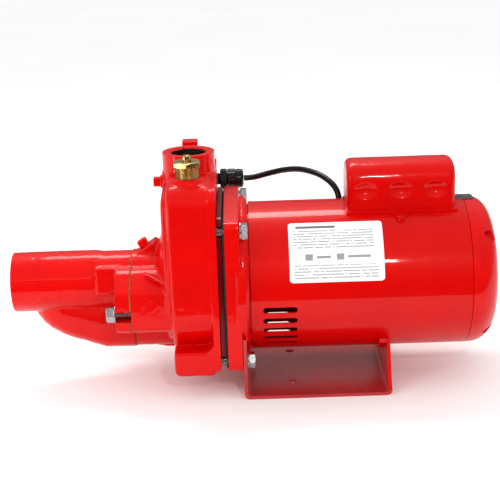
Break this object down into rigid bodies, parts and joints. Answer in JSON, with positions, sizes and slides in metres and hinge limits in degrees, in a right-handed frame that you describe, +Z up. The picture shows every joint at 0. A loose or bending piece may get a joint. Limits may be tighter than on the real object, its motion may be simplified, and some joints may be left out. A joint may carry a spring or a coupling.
{
  "type": "centrifugal water pump",
  "caption": "Cast-iron jet pump with a bolted-on ejector, close-coupled to a horizontal electric motor on a sheet-steel base, with its capacitor cover, regulator and wired pressure switch.",
  "frame": {"origin": "centre of the base plate's underside, on the surface the pump stands on", "axes": "+X along the shaft from the pump end to the motor's rear, +Z up, -Y the side with the vent slots' label"},
  "size_m": [0.459, 0.2085, 0.23],
  "materials": {
    "cast_red": "glossy red enamel over cast texture",
    "sheet_red": "smooth glossy red enamel",
    "zinc": "bright zinc plate",
    "steel": "machined",
    "laminated_iron": "oiled laminations",
    "brass": "machined bright",
    "copper_wire": "varnished copper wire",
    "ceramic": "lapped ceramic",
    "carbon": "carbon",
    "moulded_grey": "moulded",
    "black_plastic": "moulded nylon",
    "cable_jacket": "smooth jacket",
    "rubber_black": "moulded rubber",
    "fibre": "pressed fibre"
  },
  "bodies": {
    "pump": {"ejector_body": "cast_red", "ejector_gasket": "fibre", "jet_nozzle": "brass", "venturi_tube": "moulded_grey", "ejector_bolt_near": "zinc", "ejector_bolt_far": "zinc", "pump_casing": "cast_red", "priming_plug": "cast_red", "gauge_plug": "cast_red", "drain_plug": "cast_red", "vent_plug": "cast_red", "regulator_body": "brass", "diffuser": "moulded_grey", "casing_gasket": "rubber_black", "seal_plate": "cast_red", "seal_seat": "ceramic", "casing_bolt_1": "zinc", "casing_bolt_2": "zinc", "casing_bolt_3": "zinc", "casing_bolt_4": "zinc", "front_end_bell": "cast_red", "front_bearing_outer": "steel", "rear_bearing_outer": "steel", "motor_shell": "sheet_red", "cable": "cable_jacket", "rear_end_bell": "cast_red", "through_bolt_1": "zinc", "through_bolt_2": "zinc", "through_bolt_3": "zinc", "through_bolt_4": "zinc", "stator_core": "laminated_iron", "stator_winding": "copper_wire", "start_switch": "black_plastic", "capacitor_cover": "sheet_red", "capacitor": "black_plastic", "cover_screw_near": "zinc", "cover_screw_far": "zinc", "motor_base": "sheet_red", "switch_elbow": "zinc", "switch_base": "steel", "switch_cover": "moulded_grey", "gland_body": "black_plastic", "gland_nut": "black_plastic"},
    "rotor": {"shaft": "steel", "rotor_core": "laminated_iron", "impeller": "brass", "cooling_fan": "moulded_grey", "seal_head": "carbon", "seal_spring": "steel", "front_bearing_inner": "steel", "rear_bearing_inner": "steel", "governor_plate": "steel"},
    "front_bearing_cage": {"front_bearing_balls": "steel"},
    "rear_bearing_cage": {"rear_bearing_balls": "steel"},
    "governor_collar": {"governor_collar": "moulded_grey"},
    "governor_weight_a": {"governor_weight_a": "steel"},
    "governor_weight_b": {"governor_weight_b": "steel"},
    "switch_arm": {"start_switch_arm": "copper_wire"},
    "regulator_disc": {"regulator_disc": "brass"},
    "regulator_stem": {"regulator_stem": "brass"}
  },
  "joints": [
    {"name": "rotor_spin", "type": "hinge", "parent": "pump", "child": "rotor", "pos_m": [0, 0, 0.1], "axis": [1, 0, 0], "continuous": true},
    {"name": "front_cage_spin", "type": "hinge", "parent": "pump", "child": "front_bearing_cage", "pos_m": [-0.068, 0, 0.1], "axis": [1, 0, 0], "continuous": true},
    {"name": "rear_cage_spin", "type": "hinge", "parent": "pump", "child": "rear_bearing_cage", "pos_m": [0.1545, 0, 0.1], "axis": [1, 0, 0], "continuous": true},
    {"name": "governor_slide", "type": "slide", "parent": "rotor", "child": "governor_collar", "axis": [-1, 0, 0], "range_m": [0, 0.003], "stiffness_N_per_m": 400, "springref_m": -0.003},
    {"name": "weight_a_swing", "type": "hinge", "parent": "rotor", "child": "governor_weight_a", "pos_m": [0.125, 0, 0.124], "axis": [0, 1, 0], "range_deg": [0, 14.2]},
    {"name": "weight_b_swing", "type": "hinge", "parent": "rotor", "child": "governor_weight_b", "pos_m": [0.125, 0, 0.076], "axis": [0, -1, 0], "range_deg": [0, 14.2]},
    {"name": "switch_arm_swing", "type": "hinge", "parent": "pump", "child": "switch_arm", "pos_m": [0.142, 0, 0.058], "axis": [0, -1, 0], "range_deg": [0, 6]},
    {"name": "regulator_lift", "type": "slide", "parent": "pump", "child": "regulator_disc", "axis": [0, 0, 1], "range_m": [0, 0.0045]},
    {"name": "regulator_turn", "type": "hinge", "parent": "regulator_disc", "child": "regulator_stem", "pos_m": [-0.1142, -0.04, 0.2], "axis": [0, 0, 1], "range_deg": [0, 1080]}
  ],
  "couplings": [
    {"joint": "front_cage_spin", "follows": "rotor_spin", "ratio": 0.38},
    {"joint": "rear_cage_spin", "follows": "rotor_spin", "ratio": 0.38},
    {"joint": "weight_a_swing", "follows": "governor_slide", "rad_per_m": 81.4},
    {"joint": "weight_b_swing", "follows": "governor_slide", "rad_per_m": 81.4},
    {"joint": "switch_arm_swing", "follows": "governor_slide", "rad_per_m": 34},
    {"joint": "regulator_turn", "follows": "regulator_lift", "rad_per_m": 4188.7}
  ]
}
